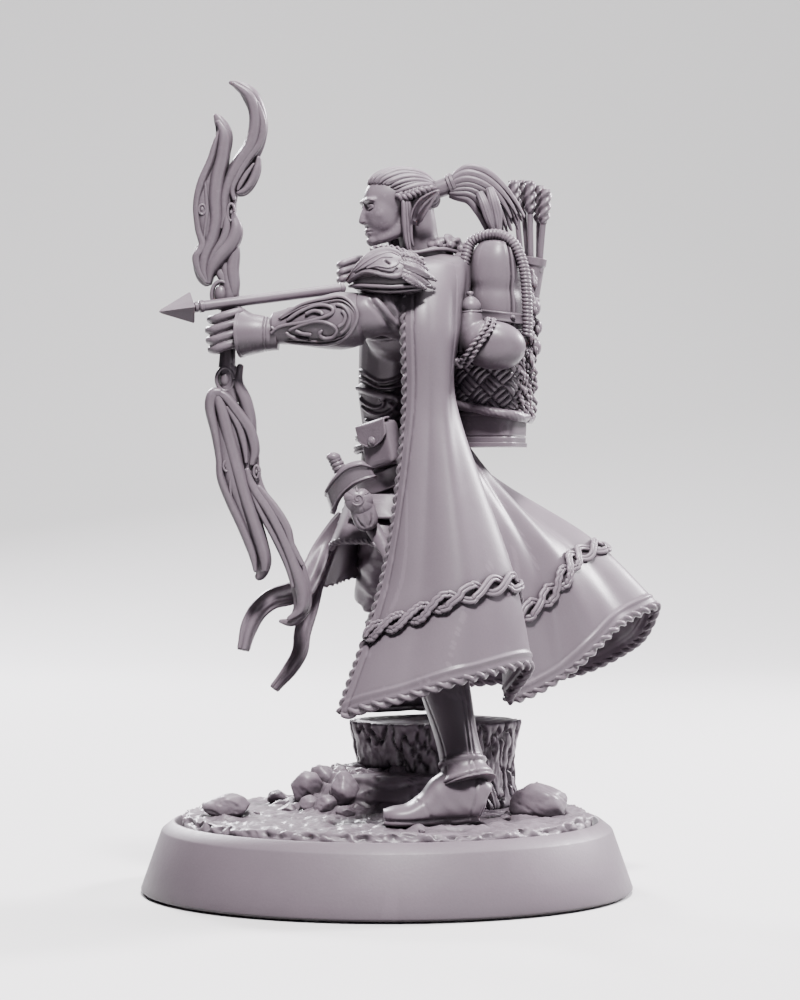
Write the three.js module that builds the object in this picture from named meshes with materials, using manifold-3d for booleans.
// An archer miniature on a 25 mm round gaming base, as a kit of separate cast pieces.
// Millimetres, +Z up. The origin is the centre of the plinth's foot. The archer faces -X, and the
// archer's left side is on -Y. Every piece is one closed solid with a glue line left around it.
import * as THREE from "three";
import { mergeVertices } from "three/addons/utils/BufferGeometryUtils.js";
import Module from "manifold-3d";

const wasm = await Module();
wasm.setup();

// ---------------------------------------------------------------- driving dimensions
const FOOT_RADIUS = 12.5; // foot of the plinth, the standard 25 mm round base
const EDGE_RADIUS = 11.45; // top of the plinth's sloping side
const EDGE_HEIGHT = 3.1;
const RIM_RADIUS = 10.85; // inner end of the top bevel
const PLINTH_HEIGHT = 3.55;
const SEAT_DEPTH = 0.8; // recess that the scenic disc drops into
const SPIGOT_RADIUS = 3;
const SPIGOT_LENGTH = 1.4;
const RUNNING_GAP = 0.08; // clearance round the disc and its spigot, which lift out
const GROUND = 3.85; // level of the scenery underfoot
const GAP = 0.06; // glue line between neighbouring pieces
const CLOTH = 0.45; // thickness of the cloak
const STUMP_TOP = 8.6;

const point = (x, y, z) => new THREE.Vector3(x, y, z);

// The archer's joints. "near" is the archer's left, on -Y, and "far" the right, on +Y.
const POSE = {
  neck: point(1.4, -0.1, 31.2),
  head: point(0.75, -0.1, 34.9),
  hips: point(0.5, 0, 19.2),
  nearShoulder: point(1.3, -3.5, 29.8),
  nearElbow: point(-0.95, -4.75, 28.7),
  nearWrist: point(-5.95, -3.95, 28.2),
  nearFist: point(-8.0, -3.15, 28.1),
  farShoulder: point(1.1, 3.3, 29.8),
  farElbow: point(2.1, 6.4, 31),
  farWrist: point(-1.05, 1.65, 31.45),
  farFist: point(-1.85, 0.35, 31.6),
  nearHip: point(0.8, -1.7, 18.8),
  nearKnee: point(2.4, -4.5, 12.6),
  nearAnkle: point(4.0, -6.75, 5.9),
  farHip: point(0.2, 1.7, 18.8),
  farKnee: point(-0.6, 4.8, 14.3),
  farAnkle: point(2.3, 5, 10.2),
};

// ---------------------------------------------------------------- colours
const resin = (shade) =>
  new THREE.MeshStandardMaterial({ color: new THREE.Color(shade), roughness: 0.55, metalness: 0 });
const FIGURE = resin("#a89ea6");
const CLOTHING = resin("#b3a8b1");
const GEAR = resin("#a0969e");
const SCENERY = resin("#968c94");
const PLINTH = resin("#9b919a");

// ---------------------------------------------------------------- shape helpers
function weld(geometry) {
  geometry.deleteAttribute("normal");
  geometry.deleteAttribute("uv");
  return mergeVertices(geometry, 1e-4);
}

// Moves every vertex of a welded geometry to where place(vertex) says.
function reshape(geometry, place) {
  const positions = geometry.attributes.position;
  const vertex = new THREE.Vector3();
  for (let i = 0; i < positions.count; i++) {
    vertex.fromBufferAttribute(positions, i);
    const moved = place(vertex);
    positions.setXYZ(i, moved.x, moved.y, moved.z);
  }
  return faceOut(geometry);
}

// Turns the faces round if the mesh is inside out.
function faceOut(geometry) {
  const index = geometry.index.array;
  const positions = geometry.attributes.position;
  const [a, b, c] = [new THREE.Vector3(), new THREE.Vector3(), new THREE.Vector3()];
  let volume = 0;
  for (let i = 0; i < index.length; i += 3) {
    a.fromBufferAttribute(positions, index[i]);
    b.fromBufferAttribute(positions, index[i + 1]);
    c.fromBufferAttribute(positions, index[i + 2]);
    volume += a.dot(b.cross(c));
  }
  if (volume < 0) {
    for (let i = 0; i < index.length; i += 3) {
      [index[i + 1], index[i + 2]] = [index[i + 2], index[i + 1]];
    }
  }
  return geometry;
}

// The same surface moved outwards by amount along its normals.
function swell(geometry, amount = GAP) {
  const copy = geometry.clone();
  copy.computeVertexNormals();
  const normals = copy.attributes.normal.clone();
  const normal = new THREE.Vector3();
  const positions = copy.attributes.position;
  const vertex = new THREE.Vector3();
  for (let i = 0; i < positions.count; i++) {
    normal.fromBufferAttribute(normals, i);
    vertex.fromBufferAttribute(positions, i).addScaledVector(normal, amount);
    positions.setXYZ(i, vertex.x, vertex.y, vertex.z);
  }
  copy.deleteAttribute("normal");
  return copy;
}

function toSolid(geometry) {
  return new wasm.Manifold(
    new wasm.Mesh({
      numProp: 3,
      vertProperties: new Float32Array(geometry.attributes.position.array),
      triVerts: new Uint32Array(geometry.index.array),
    }),
  );
}

// The largest body of a solid, as a geometry again.
function fromSolid(solid) {
  const bodies = solid.decompose();
  const largest = bodies.reduce((best, body) => (body.volume() > best.volume() ? body : best));
  const mesh = largest.getMesh();
  return new THREE.BufferGeometry()
    .setAttribute("position", new THREE.BufferAttribute(new Float32Array(mesh.vertProperties), 3))
    .setIndex(new THREE.BufferAttribute(new Uint32Array(mesh.triVerts), 1));
}

// geometry less its neighbours, each swollen by the glue line.
function cut(geometry, ...neighbours) {
  let solid = toSolid(geometry);
  for (const neighbour of neighbours) solid = solid.subtract(toSolid(swell(neighbour)));
  return fromSolid(solid);
}

function join(first, ...others) {
  let solid = toSolid(first);
  for (const other of others) solid = solid.add(toSolid(other));
  return fromSolid(solid);
}

// A curve through values, read at a share from 0 to 1.
function through(values) {
  const curve = new THREE.CatmullRomCurve3(
    values.map(([a, b]) => point(a, b, 0)),
    false,
    "catmullrom",
  );
  return (share) => curve.getPoint(share);
}

// A rounded body along a line of points. sections gives its two half-widths at each point: the first
// across the up direction, the second along it. blunt 1 makes an egg, and 6 nearly flat ends.
function loft(points, sections, options = {}) {
  const { sides = 12, rows = 9, blunt = 3, square = 2, up = point(0, 0, 1) } = options;
  const spine = new THREE.CatmullRomCurve3(points, false, "centripetal");
  const widths = through(sections);
  const ball = weld(new THREE.SphereGeometry(1, sides, rows));
  const bulge = (value) => Math.sign(value) * Math.abs(value) ** (2 / square);
  return reshape(ball, (vertex) => {
    const share = (1 - vertex.y) / 2;
    const ring = Math.hypot(vertex.x, vertex.z);
    const end = Math.min(1, blunt * ring);
    const [cosine, sine] = ring > 1e-6 ? [vertex.x / ring, vertex.z / ring] : [0, 0];
    const along = spine.getTangent(share);
    const across = new THREE.Vector3().crossVectors(along, up).normalize();
    const upward = new THREE.Vector3().crossVectors(across, along);
    const width = widths(share);
    return spine
      .getPoint(share)
      .addScaledVector(across, bulge(cosine) * width.x * end)
      .addScaledVector(upward, bulge(sine) * width.y * end);
  });
}

// A sheet of constant thickness over surface(u, v), with u and v from 0 to 1.
function sheet(surface, thickness, columns, rows) {
  const STEP = 1e-3;
  const slab = weld(new THREE.BoxGeometry(1, 1, 1, columns, rows, 1));
  return reshape(slab, (vertex) => {
    const [u, v] = [vertex.x + 0.5, vertex.y + 0.5];
    const [u0, u1] = [Math.max(0, u - STEP), Math.min(1, u + STEP)];
    const [v0, v1] = [Math.max(0, v - STEP), Math.min(1, v + STEP)];
    const acrossU = surface(u1, v).sub(surface(u0, v));
    const acrossV = surface(u, v1).sub(surface(u, v0));
    const normal = acrossU.cross(acrossV).normalize();
    return surface(u, v).addScaledVector(normal, vertex.z * thickness);
  });
}

// A ring about Z with an oblong plan: half-widths along x and y, from the lathe profile's radii.
function ring(innerX, outerX, stretchY, bottom, top, segments = 28) {
  const profile = [
    new THREE.Vector2(innerX, bottom),
    new THREE.Vector2(outerX, bottom),
    new THREE.Vector2(outerX, top),
    new THREE.Vector2(innerX, top),
    new THREE.Vector2(innerX, bottom),
  ];
  const turned = weld(new THREE.LatheGeometry(profile, segments));
  return reshape(turned, (vertex) => point(vertex.x, -vertex.z * stretchY, vertex.y));
}

function tube(points, radius, options = {}) {
  return loft(points, points.map(() => [radius, radius]), { sides: 8, blunt: 4, ...options });
}

const smooth = (edge0, edge1, value) => THREE.MathUtils.smoothstep(value, edge0, edge1);

const archer = new THREE.Group();

function add(group, name, geometry, material) {
  const mesh = new THREE.Mesh(geometry, material);
  mesh.name = name;
  group.add(mesh);
  return geometry;
}

// Moves a geometry from its own frame into the frame that its group is placed in.
function placed(geometry, group) {
  group.updateMatrix();
  return geometry.clone().applyMatrix4(group.matrix);
}

// ---------------------------------------------------------------- plinth and scenic disc
const SEAT_FLOOR = PLINTH_HEIGHT - SEAT_DEPTH;
const DISC_RADIUS = RIM_RADIUS - 0.2;

function turned(profile, segments) {
  const points = profile.map(([radius, height]) => new THREE.Vector2(radius, height));
  const geometry = weld(new THREE.LatheGeometry(points, segments));
  return reshape(geometry, (vertex) => point(vertex.x, -vertex.z, vertex.y));
}

const plinth = turned(
  [
    [0, 0],
    [FOOT_RADIUS - 0.12, 0],
    [FOOT_RADIUS, 0.12],
    [EDGE_RADIUS, EDGE_HEIGHT],
    [RIM_RADIUS, PLINTH_HEIGHT],
    [DISC_RADIUS + RUNNING_GAP, PLINTH_HEIGHT],
    [DISC_RADIUS + RUNNING_GAP, SEAT_FLOOR],
    [SPIGOT_RADIUS + RUNNING_GAP, SEAT_FLOOR],
    [SPIGOT_RADIUS + RUNNING_GAP, SEAT_FLOOR - SPIGOT_LENGTH],
    [0, SEAT_FLOOR - SPIGOT_LENGTH],
  ],
  48,
);

// Height of the scenery at a place on the disc: a bank round the stump, and low ripples.
const BANK = { x: -0.7, y: 2.9, lengthX: 4.6, lengthY: 4.4, height: 2.1 };
function groundHeight(x, y) {
  const away = Math.hypot((x - BANK.x) / BANK.lengthX, (y - BANK.y) / BANK.lengthY);
  const bank = BANK.height * (1 - smooth(0.42, 1, away));
  return GROUND + bank + 0.07 * Math.sin(1.9 * x + 0.7 * y) * Math.cos(1.5 * y - 0.4 * x);
}

const discRings = [10.3, 8.8, 7.2, 5.8, 4.4, 3, 1.6, 0];
const scenicDisc = reshape(
  turned(
    [
      [0, SEAT_FLOOR - SPIGOT_LENGTH + RUNNING_GAP],
      [SPIGOT_RADIUS, SEAT_FLOOR - SPIGOT_LENGTH + RUNNING_GAP],
      [SPIGOT_RADIUS, SEAT_FLOOR + RUNNING_GAP],
      [DISC_RADIUS, SEAT_FLOOR + RUNNING_GAP],
      [DISC_RADIUS, PLINTH_HEIGHT + 0.05],
      ...discRings.map((radius) => [radius, GROUND]),
    ],
    30,
  ),
  (vertex) =>
    vertex.z < GROUND - 0.01
      ? vertex
      : point(vertex.x, vertex.y, groundHeight(vertex.x, vertex.y)),
);
add(archer, "plinth", plinth, PLINTH);

const figure = new THREE.Group();
archer.add(figure);
add(figure, "scenic_disc", scenicDisc, SCENERY);

// ---------------------------------------------------------------- stump and rocks
const STUMP = { x: 2.5, y: 4.1, halfX: 4.1, halfY: 3.15 };
const stumpBody = reshape(
  loft(
    [point(STUMP.x, STUMP.y, 3), point(STUMP.x, STUMP.y, 5.5), point(STUMP.x, STUMP.y, STUMP_TOP)],
    [
      [STUMP.halfY * 1.18, STUMP.halfX * 1.12],
      [STUMP.halfY * 0.95, STUMP.halfX * 0.95],
      [STUMP.halfY * 1.06, STUMP.halfX * 1.08],
    ],
    { sides: 20, rows: 7, blunt: 9, up: point(1, 0, 0) },
  ),
  (vertex) => {
    const turn = Math.atan2(vertex.y - STUMP.y, vertex.x - STUMP.x);
    const low = 1 - smooth(3.5, 7.5, vertex.z);
    const lobes = 1 + (0.02 + 0.05 * low) * Math.sin(6 * turn + 0.8);
    return point(
      STUMP.x + (vertex.x - STUMP.x) * lobes,
      STUMP.y + (vertex.y - STUMP.y) * lobes,
      vertex.z,
    );
  },
);
const stump = add(figure, "tree_stump", cut(stumpBody, scenicDisc), SCENERY);

function rock(x, y, sizeX, sizeY, sizeZ, seed) {
  const ball = weld(new THREE.IcosahedronGeometry(1, 1));
  return reshape(ball, (vertex) => {
    const rough =
      1 + 0.13 * Math.sin(4.1 * vertex.x + seed) * Math.cos(3.7 * vertex.y - seed + 2.3 * vertex.z);
    const base = groundHeight(x, y) + sizeZ * 0.55;
    return point(
      x + vertex.x * sizeX * rough,
      y + vertex.y * sizeY * rough,
      base + Math.max(-0.9, vertex.z * rough) * sizeZ,
    );
  });
}

const ROCKS = [
  ["rock_front", -8.05, -2.1, 1.12, 0.9, 0.62, 1],
  ["rock_pebble", -5.75, 4.9, 0.48, 0.42, 0.34, 2],
  ["rock_bank_left", -4.05, 1.4, 0.72, 0.62, 0.75, 3],
  ["rock_bank_right", -2.1, -0.3, 0.66, 0.6, 0.72, 5],
  ["rock_back", 7.75, -2.1, 1.3, 1.1, 0.92, 6],
];
for (const [name, ...size] of ROCKS) {
  add(figure, name, cut(rock(...size), scenicDisc, stump), SCENERY);
}

// ---------------------------------------------------------------- torso and legs
const torso = add(
  figure,
  "torso",
  loft(
    [
      point(0.55, 0, 18.2),
      point(0.45, 0, 20.2),
      point(0.3, 0, 23.4),
      point(0.2, 0, 26.4),
      point(0.75, -0.05, 28.9),
      point(1.2, -0.05, 30.5),
      point(1.35, -0.1, 31.2),
    ],
    [
      [1.7, 1.55],
      [2.35, 1.9],
      [1.85, 1.5],
      [2.4, 1.75],
      [2.75, 1.75],
      [1.75, 1.1],
      [1.0, 0.85],
    ],
    { sides: 16, rows: 13, blunt: 2.2, up: point(1, 0, 0) },
  ),
  FIGURE,
);

function leg(name, hip, knee, ankle) {
  const thigh = loft(
    [hip, hip.clone().lerp(knee, 0.5), knee],
    [
      [1.45, 1.45],
      [1.35, 1.35],
      [1.1, 1.1],
    ],
    { sides: 12, rows: 8, up: point(1, 0, 0) },
  );
  const shin = loft(
    [knee.clone().lerp(ankle, 0.04), knee.clone().lerp(ankle, 0.4), ankle],
    [
      [1.0, 1.0],
      [1.0, 1.05],
      [0.8, 0.8],
    ],
    { sides: 12, rows: 8, up: point(1, 0, 0) },
  );
  return { thigh: cut(thigh, torso), shin, name };
}

// A boot in two pieces: the laced shaft round the shin, and the shoe, which points along toe.
function boot(side, knee, ankle, shaftTop, toe, floor) {
  const start = knee.clone().lerp(ankle, shaftTop);
  const shaft = loft(
    [start, start.clone().lerp(ankle, 0.45), start.clone().lerp(ankle, 0.82), ankle],
    [
      [1.42, 1.42],
      [1.2, 1.2],
      [1.08, 1.08],
      [1.4, 1.42],
    ],
    { sides: 12, rows: 10, blunt: 4, up: point(1, 0, 0) },
  );
  const heel = ankle.clone().add(point(1.15, 0, 0)).setZ(floor + 0.95);
  const instep = ankle.clone().add(point(-0.25, 0, 0)).setZ(floor + 1.15);
  const ball = instep.clone().lerp(toe, 0.6).setZ(floor + 0.62);
  const shoe = loft(
    [heel, instep, ball, toe.clone().setZ(floor + 0.42)],
    [
      [0.8, 0.95],
      [0.9, 1.1],
      [0.92, 0.62],
      [0.5, 0.42],
    ],
    { sides: 12, rows: 10, blunt: 1.9, square: 2.6 },
  );
  return { side, shaft, shoe };
}

const nearLeg = leg("near", POSE.nearHip, POSE.nearKnee, POSE.nearAnkle);
const farLeg = leg("far", POSE.farHip, POSE.farKnee, POSE.farAnkle);
const nearBoot = boot("near", POSE.nearKnee, POSE.nearAnkle, 0.12, point(0.3, -7.35, 4), GROUND);
const farBoot = boot("far", POSE.farKnee, POSE.farAnkle, 0.3, point(-1.4, 5.4, 8), STUMP_TOP);
for (const [limb, shoeing] of [
  [nearLeg, nearBoot],
  [farLeg, farBoot],
]) {
  const side = limb.name;
  const floorPieces = side === "near" ? [scenicDisc] : [stump, scenicDisc];
  shoeing.shoe = cut(shoeing.shoe, shoeing.shaft, ...floorPieces);
  shoeing.shaft = cut(shoeing.shaft, ...floorPieces);
  limb.shin = cut(limb.shin, shoeing.shaft, shoeing.shoe);
  limb.whole = cut(join(limb.thigh, limb.shin), shoeing.shaft, shoeing.shoe);
  add(figure, side + "_leg", limb.whole, CLOTHING);
  add(figure, side + "_boot_shaft", shoeing.shaft, GEAR);
  add(figure, side + "_boot_shoe", shoeing.shoe, GEAR);
}

// ---------------------------------------------------------------- tunic skirt and belt
// The skirt hangs from the waist, open at the front, and its front flaps are blown forward.
function skirtSurface(u, v) {
  const turn = Math.PI * (1.06 + 1.88 * u);
  const front = Math.max(0, -Math.cos(turn)) ** 3;
  const pleat = 0.16 * v * Math.sin(turn * 9);
  const reachX = 2.3 + v * (0.95 + 1.35 * front) + pleat;
  const reachY = 2.75 + v * 1.75 + pleat;
  const drop = 3.5 + 1.0 * front - 0.3 * Math.cos(2 * turn);
  return point(
    POSE.hips.x + reachX * Math.cos(turn),
    POSE.hips.y + reachY * Math.sin(turn),
    20.7 - drop * v,
  );
}
const skirt = add(
  figure,
  "tunic_skirt",
  cut(sheet(skirtSurface, 0.32, 26, 3), nearLeg.whole, farLeg.whole, torso),
  CLOTHING,
);

const belt = new THREE.Group();
belt.position.set(POSE.hips.x - 0.05, POSE.hips.y, 21.35);
belt.rotation.y = THREE.MathUtils.degToRad(-5);
figure.add(belt);
const beltBand = ring(2.0, 2.42, 1.17, -0.42, 0.42);
add(belt, "belt", cut(beltBand, placed(torso, invert(belt)), placed(skirt, invert(belt))), GEAR);

function invert(group) {
  group.updateMatrix();
  const inverse = new THREE.Group();
  group.matrix.clone().invert().decompose(inverse.position, inverse.quaternion, inverse.scale);
  return inverse;
}

// ---------------------------------------------------------------- gear on the belt
const pouch = new THREE.Group();
pouch.position.set(-0.45, -3.0, 22.85);
pouch.rotation.set(THREE.MathUtils.degToRad(-8), 0, THREE.MathUtils.degToRad(-28));
figure.add(pouch);
const POUCH = { halfWidth: 1.0, halfDepth: 0.6, halfHeight: 1.2 };
add(
  pouch,
  "belt_pouch",
  loft(
    [point(0, 0, -POUCH.halfHeight), point(0, 0, POUCH.halfHeight)],
    [
      [POUCH.halfDepth, POUCH.halfWidth * 1.05],
      [POUCH.halfDepth * 0.9, POUCH.halfWidth * 0.9],
    ],
    { sides: 12, rows: 6, blunt: 6, square: 6, up: point(1, 0, 0) },
  ),
  GEAR,
);
add(
  pouch,
  "belt_pouch_flap",
  loft(
    [point(0, -0.82, 0.0), point(0, -0.78, POUCH.halfHeight + 0.05)],
    [
      [0.1, POUCH.halfWidth * 0.72],
      [0.12, POUCH.halfWidth * 1.02],
    ],
    { sides: 12, rows: 6, blunt: 2.2, square: 4, up: point(1, 0, 0) },
  ),
  GEAR,
);

const purse = add(
  figure,
  "belt_purse",
  loft(
    [point(-1.0, -3.55, 20.75), point(-1.25, -3.95, 19.7), point(-1.2, -4.15, 18.5)],
    [
      [0.72, 0.28],
      [1.0, 0.45],
      [0.8, 0.4],
    ],
    { sides: 10, rows: 7, blunt: 2, up: point(0, 1, 0) },
  ),
  GEAR,
);

const DAGGER = { pommel: point(-2.75, -3.55, 22.55), guard: point(-2.05, -3.5, 21.0) };
add(
  figure,
  "dagger_grip",
  loft(
    [DAGGER.pommel, DAGGER.guard],
    [
      [0.44, 0.44],
      [0.36, 0.36],
    ],
    { sides: 10, rows: 6, blunt: 3, up: point(0, 1, 0) },
  ),
  GEAR,
);
const guardCurve = (share, out) => {
  const turn = THREE.MathUtils.lerp(2.75, 0.75, share);
  return point(-1.55 + (1.3 + out) * Math.cos(turn), 0, 19.45 + (1.3 + out) * Math.sin(turn));
};
const guard = add(
  figure,
  "dagger_guard",
  cut(
    sheet((u, v) => guardCurve(u, 0).setY(-4.0 + 1.0 * v), 0.4, 12, 2),
    purse,
    skirt,
    torso,
  ),
  GEAR,
);
add(
  figure,
  "dagger_scabbard",
  cut(
    loft(
      [point(-1.75, -3.45, 20.2), point(-0.4, -4.3, 17.9), point(0.5, -4.9, 16.1)],
      [
        [0.42, 0.26],
        [0.36, 0.24],
        [0.22, 0.2],
      ],
      { sides: 10, rows: 8, blunt: 3, up: point(0, 1, 0) },
    ),
    purse,
    guard,
    skirt,
    torso,
    nearLeg.whole,
  ),
  GEAR,
);

function ribbon(points, halfWidth, thickness) {
  const curve = new THREE.CatmullRomCurve3(points, false, "centripetal");
  const surface = (u, v) => {
    const centre = curve.getPoint(u);
    const across = new THREE.Vector3().crossVectors(curve.getTangent(u), point(0, 1, 0)).normalize();
    return centre
      .addScaledVector(across, (v - 0.5) * 2 * halfWidth * (0.75 + 0.25 * u))
      .add(point(0, (v - 0.5) * 0.5, 0));
  };
  return sheet(surface, thickness, 11, 1);
}
const skirtSide = [skirt, torso, purse, guard, nearLeg.whole, farLeg.whole];
const upperTail = add(
  figure,
  "sash_tail_upper",
  cut(
    ribbon(
      [
        point(-2.5, -2.2, 18.3),
        point(-3.6, -1.9, 16.5),
        point(-4.4, -1.7, 15.35),
        point(-5.6, -1.7, 15.0),
        point(-6.8, -1.8, 13.9),
        point(-7.5, -1.9, 12.0),
      ],
      0.55,
      0.3,
    ),
    ...skirtSide,
  ),
  CLOTHING,
);
add(
  figure,
  "sash_tail_lower",
  cut(
    ribbon(
      [
        point(-2.9, -0.9, 17.4),
        point(-3.8, -0.8, 15.6),
        point(-4.35, -0.8, 13.8),
        point(-4.6, -0.9, 12.2),
        point(-5.2, -1.0, 10.8),
        point(-5.9, -1.0, 10.1),
      ],
      0.48,
      0.3,
    ),
    ...skirtSide,
    upperTail,
  ),
  CLOTHING,
);

// ---------------------------------------------------------------- arms
function arm(side, shoulder, elbow, wrist) {
  const sleeve = loft(
    [shoulder, shoulder.clone().lerp(elbow, 0.5), elbow],
    [
      [1.2, 1.15],
      [1.38, 1.36],
      [1.34, 1.34],
    ],
    { sides: 14, rows: 8, blunt: 2 },
  );
  const vambrace = loft(
    [elbow, elbow.clone().lerp(wrist, 0.3), elbow.clone().lerp(wrist, 0.68), wrist],
    [
      [1.42, 1.45],
      [1.3, 1.3],
      [0.9, 0.92],
      [0.72, 0.74],
    ],
    { sides: 16, rows: 10, blunt: 2.6 },
  );
  return { side, sleeve: cut(sleeve, torso, vambrace), vambrace };
}
const nearArm = arm("near", POSE.nearShoulder, POSE.nearElbow, POSE.nearWrist);
const farArm = arm("far", POSE.farShoulder, POSE.farElbow, POSE.farWrist);
farArm.vambrace = cut(farArm.vambrace, torso);
for (const { side, sleeve, vambrace } of [nearArm, farArm]) {
  add(figure, side + "_sleeve", sleeve, CLOTHING);
  add(figure, side + "_vambrace", vambrace, GEAR);
}

// ---------------------------------------------------------------- bow and arrow
const BOW_Y = -3;
const bowLine = (pairs) => pairs.map(([x, z]) => point(x, BOW_Y, z));
const round = (radii) => radii.map((radius) => [radius, radius * 0.9]);
const TWIG = { sides: 8, rows: 14, blunt: 3, up: point(0, 1, 0) };

const riser = loft(
  bowLine([[-7.75, 24.9], [-7.95, 26.3], [-7.95, 28.2], [-7.75, 30.1], [-7.5, 31.3]]),
  round([0.5, 0.42, 0.4, 0.45, 0.5]),
  { ...TWIG, rows: 12 },
);
add(figure, "bow_riser", riser, GEAR);

const frontHorn = loft(
  bowLine([
    [-8.85, 30.4], [-9.25, 31.8], [-9.1, 33.2], [-9.1, 34.6],
    [-8.85, 35.9], [-8.35, 37.0], [-8.05, 38.0], [-8.3, 38.85], [-8.7, 39.15],
  ]),
  round([0.25, 0.56, 0.72, 0.7, 0.62, 0.52, 0.46, 0.34, 0.14]),
  TWIG,
);
const backHorn = loft(
  bowLine([
    [-8.2, 30.9], [-7.85, 32.3], [-7.9, 33.7], [-8.0, 34.8], [-7.6, 35.9],
    [-6.95, 36.9], [-6.5, 38.0], [-6.45, 39.1], [-6.9, 40.1], [-7.45, 40.6], [-7.85, 40.7],
  ]),
  round([0.35, 0.6, 0.62, 0.6, 0.56, 0.5, 0.52, 0.52, 0.42, 0.28, 0.12]),
  { ...TWIG, rows: 18 },
);
add(figure, "bow_upper_limb", cut(join(frontHorn, backHorn), riser), GEAR);

const frontRoot = loft(
  bowLine([
    [-8.75, 25.2], [-8.55, 23.4], [-8.25, 21.6], [-7.75, 19.8],
    [-6.85, 18.2], [-6.25, 17.0], [-6.25, 16.2], [-6.5, 15.8],
  ]),
  round([0.45, 0.62, 0.66, 0.7, 0.64, 0.55, 0.4, 0.16]),
  TWIG,
);
const backRoot = loft(
  bowLine([
    [-8.0, 24.6], [-7.35, 23.5], [-6.75, 22.2], [-6.6, 20.8], [-6.25, 19.5], [-5.5, 18.3],
    [-4.85, 16.8], [-4.3, 15.3], [-4.2, 14.2], [-4.7, 13.6], [-5.3, 13.6],
  ]),
  round([0.4, 0.5, 0.54, 0.5, 0.54, 0.58, 0.62, 0.58, 0.44, 0.3, 0.14]),
  { ...TWIG, rows: 18 },
);
const bridge = loft(
  bowLine([[-8.2, 22.6], [-7.4, 21.0], [-6.7, 19.8]]),
  round([0.5, 0.6, 0.4]),
  { ...TWIG, rows: 8 },
);
add(
  figure,
  "bow_lower_limb",
  cut(join(frontRoot, backRoot, bridge), riser, upperTail),
  GEAR,
);

const ARROW = { nock: point(-2.0, -1.95, 30.5), neck: point(-9.4, -4.3, 29.32) };
const shaft = tube([ARROW.nock, ARROW.neck], 0.24, { rows: 6, sides: 10, blunt: 8 });
add(figure, "arrow_shaft", shaft, GEAR);
const arrowHead = new THREE.Group();
arrowHead.position.copy(ARROW.neck);
arrowHead.quaternion.setFromUnitVectors(
  point(0, 1, 0),
  ARROW.neck.clone().sub(ARROW.nock).normalize(),
);
figure.add(arrowHead);
add(
  arrowHead,
  "arrow_head",
  weld(new THREE.ConeGeometry(0.78, 1.85, 4).translate(0, 1.02, 0).scale(1, 1, 0.75)),
  GEAR,
);

// ---------------------------------------------------------------- hands
const nearCuff = loft(
  [POSE.nearWrist.clone().add(point(-0.1, 0, 0)), point(-6.6, -3.8, 28.2), point(-7.2, -3.62, 28.2)],
  [
    [0.8, 0.8],
    [1.0, 1.05],
    [1.2, 1.25],
  ],
  { sides: 14, rows: 8, blunt: 5 },
);
add(figure, "near_cuff", cut(nearCuff, nearArm.vambrace, riser, shaft), GEAR);

function fist(centre, halfX, halfY, halfZ) {
  return loft(
    [centre.clone().add(point(halfX, 0, 0)), centre.clone().sub(point(halfX, 0, 0))],
    [
      [halfY, halfZ],
      [halfY * 0.95, halfZ * 0.95],
    ],
    { sides: 14, rows: 8, blunt: 2, square: 3 },
  );
}
add(
  figure,
  "near_hand",
  cut(fist(POSE.nearFist, 0.95, 0.92, 0.98), nearCuff, riser, shaft),
  FIGURE,
);
add(
  figure,
  "far_hand",
  cut(fist(POSE.farFist, 0.7, 0.75, 0.72), farArm.vambrace, shaft, torso),
  FIGURE,
);

// ---------------------------------------------------------------- head, hair and collar
const head = new THREE.Group();
head.position.copy(POSE.head);
head.rotation.y = THREE.MathUtils.degToRad(-6);
figure.add(head);
function egg(x, y, z, halfX, halfY, halfZ, sides = 16, rows = 10) {
  const ball = weld(new THREE.SphereGeometry(1, sides, rows));
  return reshape(ball, (s) => point(x + s.x * halfX, y + s.z * halfY, z + s.y * halfZ));
}
function ear(side) {
  return loft(
    [point(0.55, side * 1.35, -0.75), point(1.0, side * 1.6, -0.1), point(1.75, side * 1.85, 0.85)],
    [
      [0.2, 0.4],
      [0.2, 0.42],
      [0.06, 0.1],
    ],
    { sides: 8, rows: 6, blunt: 2 },
  );
}
const neckPeg = tube([point(0.55, 0, -3.4), point(0.65, 0, -1.2)], 0.82, { rows: 6, sides: 12 });
const skull = join(
  egg(0.1, 0, 0.25, 1.85, 1.5, 1.75, 14, 9),
  egg(-0.9, 0, -0.72, 1.25, 1.08, 1.4, 12, 8),
  tube([point(-1.95, 0, 0.05), point(-2.3, 0, -0.75)], 0.2, { rows: 5, sides: 8 }),
  ear(-1),
  ear(1),
  neckPeg,
);
const inHead = (geometry) => placed(geometry, invert(head));
add(head, "head", cut(skull, inHead(torso), inHead(farArm.vambrace), inHead(farArm.sleeve)), FIGURE);

const tie = new THREE.Group();
tie.position.set(2.15, 0, 0.55);
tie.rotation.y = THREE.MathUtils.degToRad(-15);
head.add(tie);
const tieBody = loft(
  [point(-0.45, 0, 0), point(0.5, 0, 0.05)],
  [
    [0.62, 0.62],
    [0.66, 0.66],
  ],
  { sides: 12, rows: 6, blunt: 6 },
);
add(tie, "hair_tie", cut(tieBody, placed(placed(skull, new THREE.Group()), invert(tie))), GEAR);
const ponytail = loft(
  [
    point(2.75, 0, 0.65),
    point(3.6, 0.05, 1.05),
    point(4.8, 0.1, 0.95),
    point(5.9, 0.1, 0),
    point(6.6, 0.05, -1.1),
    point(6.95, 0, -2.0),
  ],
  [
    [0.62, 0.55],
    [0.85, 0.78],
    [0.98, 0.88],
    [0.95, 0.8],
    [0.7, 0.6],
    [0.4, 0.35],
  ],
  { sides: 12, rows: 11, blunt: 2.2 },
);
add(head, "ponytail", cut(ponytail, placed(tieBody, tie), skull), FIGURE);

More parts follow.
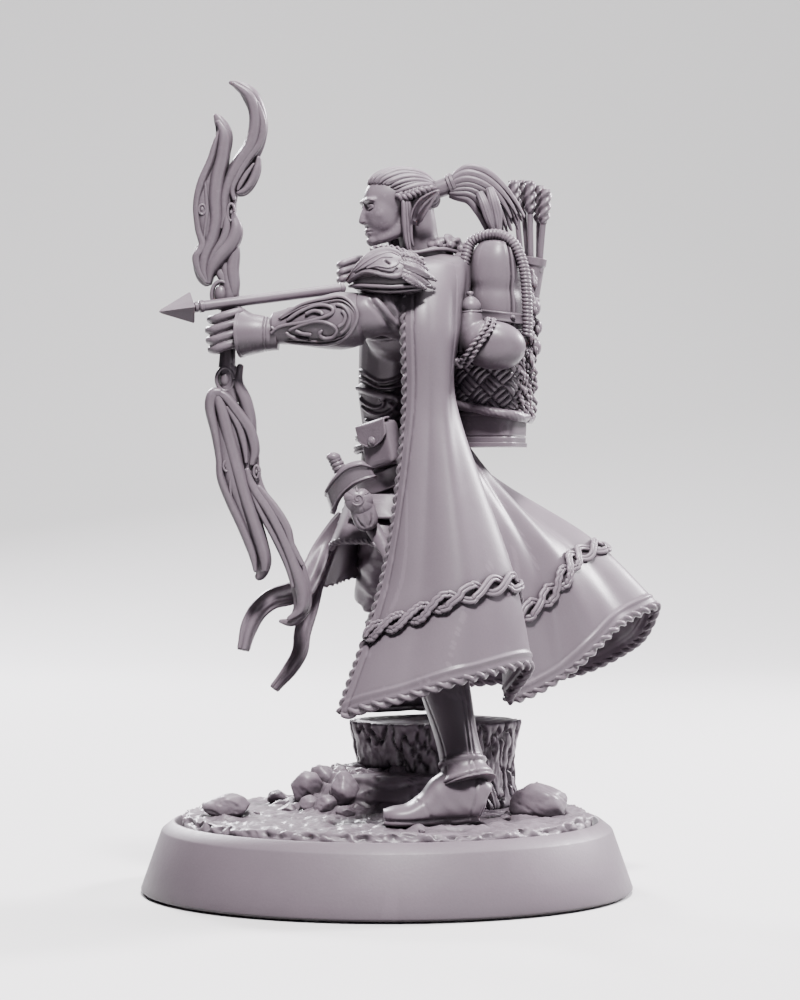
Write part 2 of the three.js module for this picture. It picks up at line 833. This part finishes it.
const collar = new THREE.Group();
collar.position.set(1.75, -0.1, 32.0);
collar.rotation.y = THREE.MathUtils.degToRad(-14);
figure.add(collar);
const inCollar = (geometry) => placed(geometry, invert(collar));
const headSolid = placed(skull, head);
const COLLAR_RING = ring(1.2, 1.68, 1.0, -0.5, 0.5, 22);
add(
  collar,
  "collar",
  cut(
    COLLAR_RING,
    inCollar(headSolid),
    inCollar(torso),
    inCollar(farArm.vambrace),
    inCollar(farArm.sleeve),
  ),
  GEAR,
);

// ---------------------------------------------------------------- cloak
// The cloak is one sheet. Each station is a line from the collar down to the hem, and the stations
// run from the near front edge, round the back with a deep fold in it, to the far front edge.
const CLOAK_STATIONS = [
  [[0.7, -1.75, 31.6], [1.0, -3.6, 31.35], [1.0, -5.2, 28.8], [1.05, -5.5, 23.7], [0.05, -6.8, 16.1], [-2.1, -8.2, 9.4]],
  [[1.3, -1.9, 31.9], [1.9, -3.8, 31.35], [2.0, -5.5, 28.6], [2.0, -6.0, 23.7], [1.6, -8.1, 15.6], [0.7, -9.5, 10.4]],
  [[2.0, -1.8, 32.0], [2.7, -3.5, 31.3], [2.9, -5.0, 28.6], [2.8, -5.8, 23.8], [3.7, -8.3, 15.8], [3.8, -9.4, 11.3]],
  [[2.6, -1.4, 32.1], [3.1, -2.6, 31.2], [3.3, -3.8, 28.6], [3.4, -4.7, 23.9], [5.9, -6.4, 16.4], [6.9, -6.6, 11.8]],
  [[2.95, -0.8, 32.1], [3.3, -1.7, 31.2], [3.3, -2.6, 28.6], [3.2, -3.0, 23.6], [5.6, -3.7, 15.9], [6.1, -3.6, 9.9]],
  [[3.05, -0.2, 32.1], [3.35, -0.8, 31.2], [3.3, -1.3, 28.6], [3.3, -1.6, 23.3], [7.4, -2.3, 16.6], [8.9, -2.5, 11.1]],
  [[3.05, 0.4, 32.1], [3.35, 0.2, 31.2], [3.3, 0.1, 28.6], [3.5, -0.1, 22.6], [9.2, -0.6, 17.3], [11.9, -0.9, 13.7]],
  [[2.9, 1.0, 32.0], [3.3, 1.2, 31.2], [3.3, 1.4, 28.6], [3.8, 1.5, 22.2], [10.3, 1.6, 17.5], [13.7, 1.6, 14.2]],
  [[2.5, 1.6, 31.9], [3.0, 2.2, 31.0], [3.2, 2.7, 28.4], [4.0, 3.1, 22.2], [9.8, 4.0, 16.4], [13.0, 4.0, 12.4]],
  [[2.0, 1.9, 31.7], [2.65, 3.0, 30.4], [3.0, 3.8, 28.0], [3.7, 4.6, 22.4], [7.4, 6.5, 15.6], [9.9, 6.6, 10.7]],
  [[1.6, 2.1, 31.3], [2.35, 3.4, 30.0], [2.6, 4.3, 27.6], [3.0, 5.4, 22.6], [4.0, 7.7, 15.6], [4.4, 8.7, 10.0]],
];
const stationCurves = CLOAK_STATIONS.map(
  (line) => new THREE.CatmullRomCurve3(line.map((p) => point(...p)), false, "catmullrom"),
);
function cloakSurface(u, v) {
  const across = new THREE.CatmullRomCurve3(
    stationCurves.map((curve) => curve.getPoint(v)),
    false,
    "catmullrom",
  );
  return across.getPoint(u);
}
const cloak = add(
  figure,
  "cloak",
  cut(
    sheet(cloakSurface, CLOTH, 28, 10),
    torso,
    nearArm.sleeve,
    farArm.sleeve,
    stump,
    scenicDisc,
    nearBoot.shaft,
    placed(COLLAR_RING, collar),
    headSolid,
  ),
  CLOTHING,
);

// ---------------------------------------------------------------- pauldrons
function pauldron(side, x, y, z, halfX, halfY, halfZ, tilt) {
  const group = new THREE.Group();
  group.position.set(x, y, z);
  group.rotation.y = THREE.MathUtils.degToRad(tilt);
  const floor = egg(0, 0, -halfZ * 1.3, halfX * 2, halfY * 2, halfZ * 0.95);
  const dome = placed(cut(egg(0, 0, 0, halfX, halfY, halfZ, 14, 7), floor), group);
  const neighbours = [torso, headSolid, shaft, cloak, nearArm.sleeve, farArm.sleeve];
  const clear = cut(dome, ...neighbours, nearArm.vambrace, farArm.vambrace);
  add(figure, side + "_pauldron", clear, GEAR);
}
pauldron("near", 0.25, -4.2, 30.75, 2.3, 1.75, 1.6, 5);
pauldron("far", 0.7, 4.3, 31.1, 1.9, 1.6, 1.4, 0);

// ---------------------------------------------------------------- back pack
// The pack's own frame has +X out of its back face, and +Y along its width.
const pack = new THREE.Group();
pack.position.set(5.25, -0.9, 0);
pack.rotation.z = THREE.MathUtils.degToRad(-20);
figure.add(pack);
const upright = (x, y, low, high) => [point(x, y, low), point(x, y, high)];
const BASKET = { halfDepth: 1.75, halfWidth: 1.8, bottom: 24.4, top: 28.6 };
const inPack = (geometry) => placed(geometry, invert(pack));
const packNeighbours = [cloak, torso].map(inPack);
function packPiece(name, geometry, ...others) {
  return add(pack, name, cut(geometry, ...packNeighbours, ...others), GEAR);
}
const packUp = { up: point(1, 0, 0), square: 3.2 };

const lowerCase = packPiece(
  "pack_lower_case",
  loft(
    upright(0.1, 0, 22.5, BASKET.bottom - 0.2),
    [[1.55, 1.5], [1.6, 1.6]],
    { ...packUp, sides: 12, rows: 5, blunt: 8, square: 5 },
  ),
);
const basket = packPiece(
  "pack_basket",
  loft(
    upright(0, 0, BASKET.bottom, BASKET.top),
    [
      [BASKET.halfWidth, BASKET.halfDepth],
      [BASKET.halfWidth * 0.95, BASKET.halfDepth * 0.95],
    ],
    { ...packUp, sides: 16, rows: 6, blunt: 7 },
  ),
  lowerCase,
);

// The cord bound round the foot of the basket follows its rounded-square plan.
packPiece(
  "pack_basket_rim",
  reshape(weld(new THREE.TorusGeometry(1, 0.13, 5, 20)), (s) => {
    const reach = Math.hypot(s.x, s.y);
    const [cosine, sine] = [s.x / reach, s.y / reach];
    const bulge = (value) => Math.sign(value) * Math.abs(value) ** (2 / 3.2);
    const swollen = 0.12 + (reach - 1) * 1.6;
    return point(
      bulge(cosine) * (BASKET.halfDepth + swollen),
      bulge(sine) * (BASKET.halfWidth + swollen),
      BASKET.bottom + 0.1 - 0.12 * cosine + s.z * 1.6,
    );
  }),
  basket,
  lowerCase,
);
const bag = packPiece(
  "pack_bag",
  loft(
    [point(0.15, -0.35, 28.0), point(0.2, -0.35, 30.6), point(0.2, -0.35, 33.0)],
    [
      [1.4, 1.5],
      [1.35, 1.42],
      [0.85, 0.9],
    ],
    { ...packUp, sides: 14, rows: 8, blunt: 2.4, square: 2.6 },
  ),
  basket,
);
const strapSlab = new THREE.BoxGeometry(6, 6, 0.6).translate(0, 0, 29.15);
const strap = packPiece(
  "pack_strap",
  fromSolid(toSolid(swell(bag, 0.32)).intersect(toSolid(weld(strapSlab)))),
  bag,
  basket,
);
packPiece("pack_button", egg(1.5, -1.78, 29.15, 0.26, 0.26, 0.26, 8, 6), strap, bag);

// A coil of rope stands as an arch over the bag.
const archPoints = [point(-1.55, -1.3, 27.9)];
for (let i = 0; i <= 8; i++) {
  const turn = Math.PI * (1 - i / 8);
  archPoints.push(point(0.2 + 1.62 * Math.cos(turn), -0.85, 31.2 + 2.15 * Math.sin(turn)));
}
archPoints.push(point(1.95, -0.95, 28.2));
const coil = packPiece(
  "pack_rope_coil",
  loft(
    archPoints,
    archPoints.map(() => [0.34, 0.34]),
    { sides: 6, rows: 20, blunt: 4, up: point(0, 1, 0) },
  ),
  bag,
  strap,
  basket,
);

// The gourd hangs on the near corner of the pack, with its neck upright.
const fromFigure = (geometry) => placed(geometry, invert(pack));
const gourd = packPiece(
  "water_gourd",
  fromFigure(
    join(
      loft(
        [point(4.2, -3.45, 27.9), point(5.4, -3.6, 27.35), point(6.9, -3.1, 27.3)],
        [
          [0.75, 0.9],
          [1.15, 1.25],
          [0.85, 0.95],
        ],
        { sides: 14, rows: 9, blunt: 1.6 },
      ),
      loft(
        [point(4.35, -3.35, 27.6), point(4.22, -3.3, 29.25)],
        [
          [0.7, 0.7],
          [0.56, 0.56],
        ],
        { sides: 12, rows: 6, blunt: 4, up: point(1, 0, 0) },
      ),
    ),
  ),
  basket,
  bag,
  strap,
  coil,
);
packPiece(
  "gourd_cap",
  fromFigure(
    join(
      loft(
        [point(4.22, -3.3, 29.3), point(4.2, -3.3, 29.9), point(4.18, -3.3, 30.25)],
        [
          [0.62, 0.62],
          [0.5, 0.5],
          [0.2, 0.2],
        ],
        { sides: 10, rows: 7, blunt: 4, up: point(1, 0, 0) },
      ),
      egg(4.18, -3.3, 30.4, 0.2, 0.2, 0.2, 8, 5),
    ),
  ),
  gourd,
  coil,
  bag,
);

const quiver = packPiece(
  "quiver",
  loft(
    [point(1.45, 2.8, 24.6), point(1.55, 2.8, 32.0)],
    [
      [0.72, 0.72],
      [0.9, 0.9],
    ],
    { sides: 14, rows: 8, blunt: 7, up: point(1, 0, 0) },
  ),
  basket,
  lowerCase,
  bag,
  coil,
);

// Each arrow stands in the quiver: its foot, then its flight's top, in the pack's frame.
const QUIVER_ARROWS = [
  [1.05, 2.6, 0.4, 2.45, 36.0],
  [1.3, 3.05, 0.85, 3.1, 36.2],
  [1.55, 2.55, 1.25, 2.5, 36.15],
  [1.8, 3.05, 1.7, 3.1, 35.9],
  [2.0, 2.6, 2.1, 2.55, 35.65],
];
const ponytailInPack = placed(placed(ponytail, head), invert(pack));
QUIVER_ARROWS.forEach(([footX, footY, topX, topY, top], i) => {
  const foot = point(footX, footY, 31.85);
  const tip = point(topX, topY, top);
  packPiece(
    "quiver_arrow_" + (i + 1),
    loft(
      [foot, foot.clone().lerp(tip, 0.42), foot.clone().lerp(tip, 0.58), tip],
      [
        [0.17, 0.17],
        [0.17, 0.17],
        [0.26, 0.26],
        [0.27, 0.27],
      ],
      { sides: 6, rows: 6, blunt: 4, up: point(1, 0, 0) },
    ),
    quiver,
    ponytailInPack,
  );
});

export default archer;
